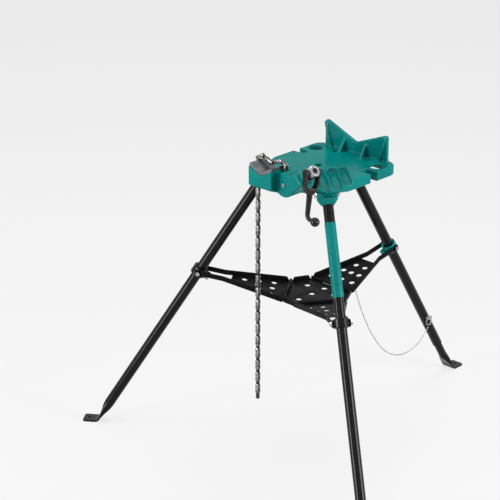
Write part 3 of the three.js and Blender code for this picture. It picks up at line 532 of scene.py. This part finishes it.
for node, (first, last) in RUNS.items():
    bm = bmesh.new()
    for i in range(first, last):
        (x0, z0), (x1, z1) = chain_joint(i), chain_joint(i + 1)
        turn = math.atan2(z1 - z0, x1 - x0)
        plate, offsets, lit_share = ((outer_plate, OUTER_AT, LIT_PLATE) if is_outer(i)
                                  else (inner_plate, INNER_AT, SHADED_PLATE))
        for y in offsets:
            add_at(bm, plate, x0, z0, y, turn, lit_share)
    for j in range(first, last + 1):
        if (j > first or is_outer(first)) and (j < last or is_outer(last - 1)):
            add_at(bm, pin, *chain_joint(j), 0, 0, HALF_LIT_PIN)
    mesh = mesh_of(bm, node, smooth_below=50)
    piece(node + "_links", mesh, body_of_node[node], "chain", [node])
print("chain done,", len(made), "pieces")

# %% [markdown]
# ## Tray
# The tray is pressed from thin sheet: round drain holes, folded lips, and rolled knuckles round
# the hinge rods. Cutting hole after hole from a solid plate would leave slivers. A flat curve
# with hole splines inside its outline fills to a clean perforated sheet, so each sheet starts as
# such a curve, becomes a mesh, and takes its place.

# %% Tray helpers
SHEET_LOW, SHEET_TOP, SHEET_EDGE = -6.5, -4.5, 0.3
HOLE_R = 8
KNUCKLE_R, LEAF_TOP, LEAF_EASE, BARREL_EASE = 4.5, -3.3, 0.4, 0.4


def ring_points(x, y, radius, count=28):
    angles = [i / count * FULL_TURN for i in range(count)]
    return [(x + radius * math.cos(angle), y + radius * math.sin(angle)) for angle in angles]


def perforated(name, outline, holes):
    curve = bpy.data.curves.new(name, "CURVE")
    curve.dimensions = "2D"
    curve.fill_mode = "BOTH"
    curve.extrude = ((SHEET_TOP - SHEET_LOW) / 2 - SHEET_EDGE) * MM
    curve.bevel_depth = SHEET_EDGE * MM
    curve.offset = -SHEET_EDGE * MM
    curve.bevel_resolution = 1
    for loop in (outline, *(ring_points(x, y, HOLE_R) for x, y in holes)):
        spline = curve.splines.new("POLY")
        spline.points.add(len(loop) - 1)
        for point, (x, y) in zip(spline.points, loop):
            point.co = (x * MM, y * MM, 0, 1)
        spline.use_cyclic_u = True
    flat = bpy.data.objects.new(name, curve)
    scene.collection.objects.link(flat)
    bpy.context.view_layer.update()
    mesh = bpy.data.meshes.new_from_object(flat)
    bpy.data.objects.remove(flat)
    bm = bmesh.new()
    bm.from_mesh(mesh)
    bmesh.ops.remove_doubles(bm, verts=bm.verts, dist=SAME)
    bmesh.ops.translate(bm, verts=bm.verts, vec=(0, 0, (SHEET_LOW + SHEET_TOP) / 2 * MM))
    return bm


def upright_strip(bm, corners, high, ease, lean=None):
    """A plate on edge, up from the sheet's underside. `lean` shifts its top corners."""
    old_faces = set(bm.faces)
    top = lifted_face(bm, corners, SHEET_LOW, high)
    for vert in top:
        for corner, shift in (lean or {}).items():
            x, y = corners[corner]
            if math.hypot(vert.co.x - x * MM, vert.co.y - y * MM) < SAME:
                vert.co += Vector((*shift, 0)) * MM
                break
    faces = [f for f in bm.faces if f not in old_faces]
    bmesh.ops.recalc_face_normals(bm, faces=faces)
    eased(bm, [e for e in bm.edges if any(f not in old_faces for f in e.link_faces)], ease, 2)


def barrel(bm, radius, start, end, segments=24):
    """A turned barrel along Y."""
    cone = bmesh.ops.create_cone(bm, cap_ends=True, segments=segments, radius1=radius * MM,
                                 radius2=radius * MM, depth=(end - start) * MM)
    verts = set(cone["verts"])
    done = eased(bm, level_edges(e for e in bm.edges if e.verts[0] in verts), BARREL_EASE, 2)
    verts = list({v for f in done["faces"] for v in f.verts} | {v for v in verts if v.is_valid})
    bmesh.ops.rotate(bm, verts=verts, matrix=Matrix.Rotation(-QUARTER_TURN, 3, "X"))
    bmesh.ops.translate(bm, verts=verts, vec=(0, (start + end) / 2 * MM, 0))
    return verts


def knuckle(bm, start, end, leaf_from, leaf_to):
    """A rolled barrel round the hinge rod, and the leaf that joins it to its sheet."""
    barrel(bm, KNUCKLE_R, start, end)
    leaf = [(leaf_from, start), (leaf_to, start), (leaf_to, end), (leaf_from, end)]
    upright_strip(bm, leaf, LEAF_TOP, LEAF_EASE)


print("sheet helpers ready")

# %% [markdown]
# A wing is a tapered sheet with a lip on each side. The lips run on past the sheet as two arms,
# and each arm ends in an eye for the collar's bolt. At the hinge the lips are cut at a slant, so
# that the wing can fold against its neighbour.

# %% Tray wings
HINGE_R, HINGE_Z, HINGE_HALF, SHEET_GAP = 78, 467, 80, 2
WING_SLOPE = math.radians(9.79)
WING_L, SHEET_L, SHOULDER, FLARE = 264.6, 168, 8, 6
ARM_IN, ARM_OUT, ARM_BEND, ARM_END = 23.4, 26.4, SHEET_L + 22, WING_L + 10
LIP_START, LIP_THICK, LIP_EASE, WING_LIP_TOP = 2.5, 3, 0.5, SHEET_LOW + 15
BEND_EASE, EYE_R, EYE_SEGMENTS = 0.6, 11, 28
LIP_SLANT = (10, 2.8)
WING_KNUCKLE_HALF, LEAF_NEAR, LEAF_FAR = 33.6, 0.4, 9
WING_HOLES = [(44, -40), (44, 0), (44, 40), (88, -30), (88, 0), (88, 30), (130, -17), (130, 17)]
WING_OUTLINE = [
    (SHEET_GAP, -HINGE_HALF), (SHOULDER, -HINGE_HALF), (SHEET_L, -ARM_OUT - FLARE),
    (SHEET_L, ARM_OUT + FLARE), (SHOULDER, HINGE_HALF), (SHEET_GAP, HINGE_HALF),
]


def wing_arm(bm, s):
    lip = [(LIP_START, s * HINGE_HALF), (ARM_BEND, s * ARM_OUT), (ARM_END, s * ARM_OUT),
           (ARM_END, s * ARM_IN), (ARM_BEND - BEND_EASE, s * ARM_IN),
           (LIP_START, s * (HINGE_HALF - LIP_THICK))]
    slant = (LIP_SLANT[0], -s * LIP_SLANT[1])
    upright_strip(bm, lip, WING_LIP_TOP, LIP_EASE, {0: slant, 5: slant})
    eye = barrel(bm, EYE_R, *sorted((s * ARM_IN, s * ARM_OUT)), EYE_SEGMENTS)
    bmesh.ops.translate(bm, verts=eye, vec=(WING_L * MM, 0, 0))


for side in LEG_ANGLES:
    bm = perforated("wing_sheet", WING_OUTLINE, WING_HOLES)
    for s in (-1, 1):
        wing_arm(bm, s)
    knuckle(bm, -WING_KNUCKLE_HALF, WING_KNUCKLE_HALF, LEAF_NEAR, LEAF_FAR)
    at_hinge = out_from_middle(side) @ Matrix.Translation((HINGE_R * MM, 0, HINGE_Z * MM))
    bmesh.ops.transform(bm, matrix=at_hinge @ Matrix.Rotation(-WING_SLOPE, 4, "Y"), verts=bm.verts)
    node = "tray_wing_" + side
    piece(node + "_sheet", mesh_of(bm, node), body_of_node[node], "tray", [node])
print("three wings,", len(made), "pieces")

# %% [markdown]
# The centre is a six-sided sheet: three sides carry hinge knuckles, and the other three have lips
# with slanted ends. A pair of knuckles is made once and copied round to each hinge.

# %% Tray centre
CENTRE_HOLES = [(0, -8), (0, 46), (-52, 30), (52, 30), (0, -64)]
CENTRE_LIP_TOP, CENTRE_LIP_THICK, CENTRE_LIP_SLANT = SHEET_LOW + 14, 2, 8
CENTRE_KNUCKLES = ((-78, -34), (34, 78))
LIPPED_SIDES = (1, 3, 5)
corners = []
for angle in LEG_ANGLES.values():
    turn = math.radians(angle)
    for t in (-HINGE_HALF, HINGE_HALF):
        r = HINGE_R - SHEET_GAP
        corners.append((r * math.cos(turn) - t * math.sin(turn),
                        r * math.sin(turn) + t * math.cos(turn)))
bm = perforated("centre_sheet", corners, CENTRE_HOLES)
for i in LIPPED_SIDES:
    a, b = Vector(corners[i]), Vector(corners[(i + 1) % len(corners)])
    inward = Vector((a.y - b.y, b.x - a.x)).normalized() * CENTRE_LIP_THICK
    slant = (b - a).normalized() * CENTRE_LIP_SLANT
    upright_strip(bm, [a, b, b + inward, a + inward], CENTRE_LIP_TOP, LIP_EASE,
                  {0: slant, 1: -slant, 2: -slant, 3: slant})
knuckles = bmesh.new()
for start, end in CENTRE_KNUCKLES:
    knuckle(knuckles, start, end, -LEAF_FAR, -LEAF_NEAR)
bmesh.ops.translate(knuckles, verts=knuckles.verts, vec=(HINGE_R * MM, 0, 0))
pair = mesh_of(knuckles, "knuckles")
for angle in LEG_ANGLES.values():
    placed = pair.copy()
    placed.transform(Matrix.Rotation(math.radians(angle), 4, "Z"))
    bm.from_mesh(placed)
bmesh.ops.translate(bm, verts=bm.verts, vec=(0, FOOTPRINT_SHIFT * MM, HINGE_Z * MM))
piece("tray_centre_sheet", mesh_of(bm, "tray_centre"), "tray_centre", "tray", ["tray_centre"])
print("tray centre done,", len(made), "pieces")

# %% [markdown]
# ## Finishes
# A small class wraps a shader socket, so that shader maths reads like arithmetic. Each finish is
# a principled shader whose colour, roughness and bump vary with noise on Object coordinates, at
# the scale of the real surface: orange peel in enamel, forge scale, rolled steel and fine
# scratches.

# %% Shader helper


class Wire:
    def __init__(self, sheet, socket):
        self.sheet, self.socket = sheet, socket

    def maths(self, operation, a, b):
        return self.sheet.node("ShaderNodeMath", {"operation": operation}, {0: a, 1: b})

    def __add__(self, other):
        return self.maths("ADD", self, other)

    def __sub__(self, other):
        return self.maths("SUBTRACT", self, other)

    def __rsub__(self, other):
        return self.maths("SUBTRACT", other, self)

    def __mul__(self, other):
        return self.maths("MULTIPLY", self, other)

    __radd__ = __add__
    __rmul__ = __mul__


class NodeSheet:
    def __init__(self, owner):
        owner.use_nodes = True
        self.tree = owner.node_tree

    def node(self, kind, settings, sockets, output=0):
        node = self.tree.nodes.new(kind)
        for key, value in settings.items():
            setattr(node, key, value)
        for key, value in sockets.items():
            self.feed(node.inputs[key], value)
        return Wire(self, node.outputs[output])

    def feed(self, target, value):
        if isinstance(value, Wire):
            self.tree.links.new(value.socket, target)
        else:
            target.default_value = value


print("shader helper ready")

# %% Finish helper
COLOUR_A, COLOUR_B, COLOUR_OUT = 6, 7, 2


class Finish(NodeSheet):
    def __init__(self, name):
        self.material = bpy.data.materials.new(name)
        super().__init__(self.material)
        self.shader = self.tree.nodes["Principled BSDF"]
        self.place = self.node("ShaderNodeTexCoord", {}, {}, "Object")

    def noise(self, scale, detail=3.0, rough=0.5, stretch=None):
        place = self.place
        if stretch:
            place = self.node("ShaderNodeMapping", {}, {"Vector": place, "Scale": stretch})
        sockets = {"Vector": place, "Scale": scale, "Detail": detail, "Roughness": rough}
        return self.node("ShaderNodeTexNoise", {}, sockets)

    def blend(self, mask, a, b):
        settings = {"data_type": "RGBA", "clamp_factor": True}
        sockets = {"Factor": mask, COLOUR_A: a, COLOUR_B: b}
        return self.node("ShaderNodeMix", settings, sockets, COLOUR_OUT)

    def step(self, value, low, high):
        sockets = {"Value": value, "From Min": low, "From Max": high, "To Min": 0.0, "To Max": 1.0}
        return self.node("ShaderNodeMapRange", {"clamp": True}, sockets)

    def bump(self, height, strength, depth):
        sockets = {"Strength": strength, "Distance": depth, "Height": height}
        return self.node("ShaderNodeBump", {}, sockets)

    def set(self, **values):
        for key, value in values.items():
            self.feed(self.shader.inputs[key.replace("_", " ")], value)
        return self.material


def rgb(r, g, b):
    """A colour written as it looks on a screen, 0 to 255, turned to linear light."""
    def linear(c):
        c /= 255
        return c / 12.92 if c <= 0.04045 else ((c + 0.055) / 1.055) ** 2.4
    return (linear(r), linear(g), linear(b), 1.0)


print("finish helper ready")

# %% [markdown]
# The head, the sockets and a band are teal enamel over a sandy casting, with a thin clear gloss.
# The tubes are gloss black, and the tray has a satin powder coat. One noise makes broad colour
# flow, a finer one makes the orange peel, and both are weak, because new paint is even.

# %% Painted finishes
finishes = {}

teal = Finish("teal_enamel")
flow = teal.noise(scale=9.0, detail=4.0)
peel = teal.noise(scale=420.0, detail=2.0)
sand = teal.noise(scale=95.0, detail=5.0, rough=0.6)
finishes["enamel"] = teal.set(
    Base_Color=teal.blend(teal.step(flow, low=0.35, high=0.68), rgb(0, 112, 109), rgb(0, 130, 127)),
    Roughness=0.34 + 0.12 * sand, IOR=1.05,
    Coat_Weight=0.16, Coat_Roughness=0.14, Coat_IOR=1.6,
    Normal=teal.bump(0.25 * peel + sand, strength=0.35, depth=0.0006))

gloss = Finish("black_enamel")
haze = gloss.noise(scale=30.0, detail=4.0)
peel = gloss.noise(scale=500.0, detail=2.0)
finishes["tube"] = gloss.set(
    Base_Color=gloss.blend(gloss.step(haze, low=0.35, high=0.7), rgb(8, 8, 9), rgb(15, 15, 17)),
    Roughness=0.14 + 0.10 * haze, IOR=1.25,
    Normal=gloss.bump(peel, strength=0.12, depth=0.0003))

satin = Finish("black_powder_coat")
cloud = satin.noise(scale=14.0, detail=4.0)
grit = satin.noise(scale=900.0, detail=2.0)
finishes["tray"] = satin.set(
    Base_Color=satin.blend(satin.step(cloud, low=0.3, high=0.7), rgb(14, 14, 15), rgb(24, 24, 26)),
    Roughness=0.28 + 0.14 * cloud, IOR=1.1,
    Normal=satin.bump(grit, strength=0.25, depth=0.0003))
print("paints:", ", ".join(finishes))

# %% [markdown]
# The crank and the draw screw are forged black, pins and bolts are plated, and the jaw is ground.
# Stretched noise gives the plated and ground faces their fine lines. The chain is the richest: an
# oil film darkens and smooths it in patches, and the value on its vertices paints shade on the
# inner plates between the outer ones, while the outer plates are painted lit.

# %% Bare metal finishes
forged = Finish("forged_oxide")
crust = forged.noise(scale=70.0, detail=6.0, rough=0.6)
pits = forged.noise(scale=260.0, detail=4.0)
finishes["oxide"] = forged.set(
    Base_Color=forged.blend(forged.step(crust, low=0.35, high=0.7),
                            rgb(10, 10, 11), rgb(22, 22, 21)),
    Metallic=0.1, Roughness=0.14 + 0.1 * crust, IOR=1.35,
    Normal=forged.bump(crust + 0.5 * pits, strength=0.15, depth=0.0006))

plated = Finish("bright_plate")
film = plated.noise(scale=60.0, detail=3.0)
lines = plated.noise(scale=700.0, detail=2.0, stretch=(1.0, 1.0, 0.06))
finishes["bright"] = plated.set(
    Base_Color=plated.blend(plated.step(film, low=0.35, high=0.7),
                            rgb(150, 151, 154), rgb(186, 187, 189)),
    Metallic=1.0, Roughness=0.16 + 0.14 * lines,
    Normal=plated.bump(lines, strength=0.06, depth=0.0002))

rolled = Finish("chain_steel")
dry = rolled.noise(scale=85.0, detail=5.0, rough=0.6)
oil = 1 - dry
grain = rolled.noise(scale=800.0, detail=2.0)
# Painted shade: the vertex value mixes a dark colour onto the inner plates, for the shade between
# the outer plates, and a lit colour onto the outer plates.
plate_shading = rolled.node("ShaderNodeAttribute", {"attribute_name": "lit_share"}, {}, "Fac")
patches = rolled.step(dry, low=0.35, high=0.68)
inner_plate_shade = rolled.blend(patches, rgb(34, 33, 32), rgb(84, 82, 79))
steel = rolled.blend(patches, rgb(110, 109, 106), rgb(176, 174, 170))
finishes["chain"] = rolled.set(
    Base_Color=rolled.blend(plate_shading, inner_plate_shade, steel), Metallic=1.0, Roughness=0.42 - 0.2 * oil,
    Normal=rolled.bump(grain, strength=0.15, depth=0.0002))

hardened = Finish("jaw_steel")
tone = hardened.noise(scale=45.0, detail=4.0)
brush = hardened.noise(scale=900.0, detail=2.0, stretch=(1.0, 0.05, 1.0))
finishes["jaw"] = hardened.set(
    Base_Color=hardened.blend(hardened.step(tone, low=0.35, high=0.7),
                              rgb(84, 86, 89), rgb(118, 120, 123)),
    Metallic=1.0, Roughness=0.34 + 0.2 * brush,
    Normal=hardened.bump(brush, strength=0.12, depth=0.0002))
print("finishes:", ", ".join(finishes))

# %% Put the finishes on
for obj, finish in made:
    obj.data.materials.clear()
    obj.data.materials.append(finishes[finish])
for node, obj in frame["nodes"].items():
    obj.data.materials.clear()
    obj.data.materials.append(finishes[slot_of_node[node]])
print(len(made), "pieces and", len(frame["nodes"]), "solids have their finish")

# %% [markdown]
# ## Floor and light
# The camera sees a pale floor that runs into a pale sky, while the stand itself is lit by a
# dimmer sky and a grey floor, so that black stays black. A brighter lamp for both would wash the
# paint out, so the shaders ask which ray is looking. The floor keeps a share of its grey, and
# with it the shadow.

# %% Floor
WHITE = (1, 1, 1, 1)
FLOOR_GREY = (0.6, 0.6, 0.6, 1)
FLOOR_WHITE_SHARE = 0.75
SEEN_RAYS = ("Is Camera Ray", "Is Glossy Ray", "Is Transmission Ray")


def seen(sheet):
    """1 for a ray from the camera, straight, mirrored or through glass, and 0 for the rest."""
    camera_ray, glossy_ray, clear_ray = (sheet.node("ShaderNodeLightPath", {}, {}, ray)
                                         for ray in SEEN_RAYS)
    return camera_ray + glossy_ray + clear_ray


bm = bmesh.new()
bmesh.ops.create_grid(bm, x_segments=1, y_segments=1, size=30)
floor = bpy.data.objects.new("floor", mesh_of(bm, "floor"))
scene.collection.objects.link(floor)
floor.location.z = -0.0005
ground = Finish("pale_floor")
ground.set(Base_Color=FLOOR_GREY, Roughness=0.7)
grey = Wire(ground, ground.shader.outputs[0])
paper = ground.node("ShaderNodeEmission", {}, {"Color": WHITE, "Strength": 1.0})
share = FLOOR_WHITE_SHARE * seen(ground)
both = ground.node("ShaderNodeMixShader", {}, {0: share, 1: grey, 2: paper})
ground.feed(ground.tree.nodes["Material Output"].inputs["Surface"], both)
floor.data.materials.append(ground.material)
print("floor laid")

# %% [markdown]
# Large soft lamps stand in front, to the left, to the right and above. Round and oval ones draw
# long clean highlights on the gloss tubes, and their size keeps glare off the flat deck and tray.

# %% Lamps and sky
STAND_MIDDLE = Vector((0, 0, 0.6))
SKY_ON_STAND = 0.2


def lamp(name, place, size, power):
    data = bpy.data.lights.new(name, "AREA")
    data.shape = "ELLIPSE"
    data.size, data.size_y = size
    data.energy = power
    obj = bpy.data.objects.new(name, data)
    scene.collection.objects.link(obj)
    obj.location = place
    obj.rotation_euler = (STAND_MIDDLE - Vector(place)).to_track_quat("-Z", "Y").to_euler()


lamp("front", place=(-1.3, -4.0, 1.0), size=(1.2, 2.0), power=105)
lamp("left", place=(-2.8, -3.0, 3.0), size=(2.6, 2.6), power=60)
lamp("right", place=(3.6, 1.0, 1.6), size=(2.0, 2.0), power=135)
lamp("top", place=(-0.4, 0.4, 4.2), size=(3.0, 3.0), power=80)
world = bpy.data.worlds.new("studio")
scene.world = world
sky = NodeSheet(world)
dim = sky.node("ShaderNodeBackground", {}, {"Color": WHITE, "Strength": SKY_ON_STAND})
pale = sky.node("ShaderNodeBackground", {}, {"Color": WHITE, "Strength": 1.0})
either = sky.node("ShaderNodeMixShader", {}, {0: seen(sky), 1: dim, 2: pale})
sky.feed(sky.tree.nodes["World Output"].inputs["Surface"], either)
print("stage set")
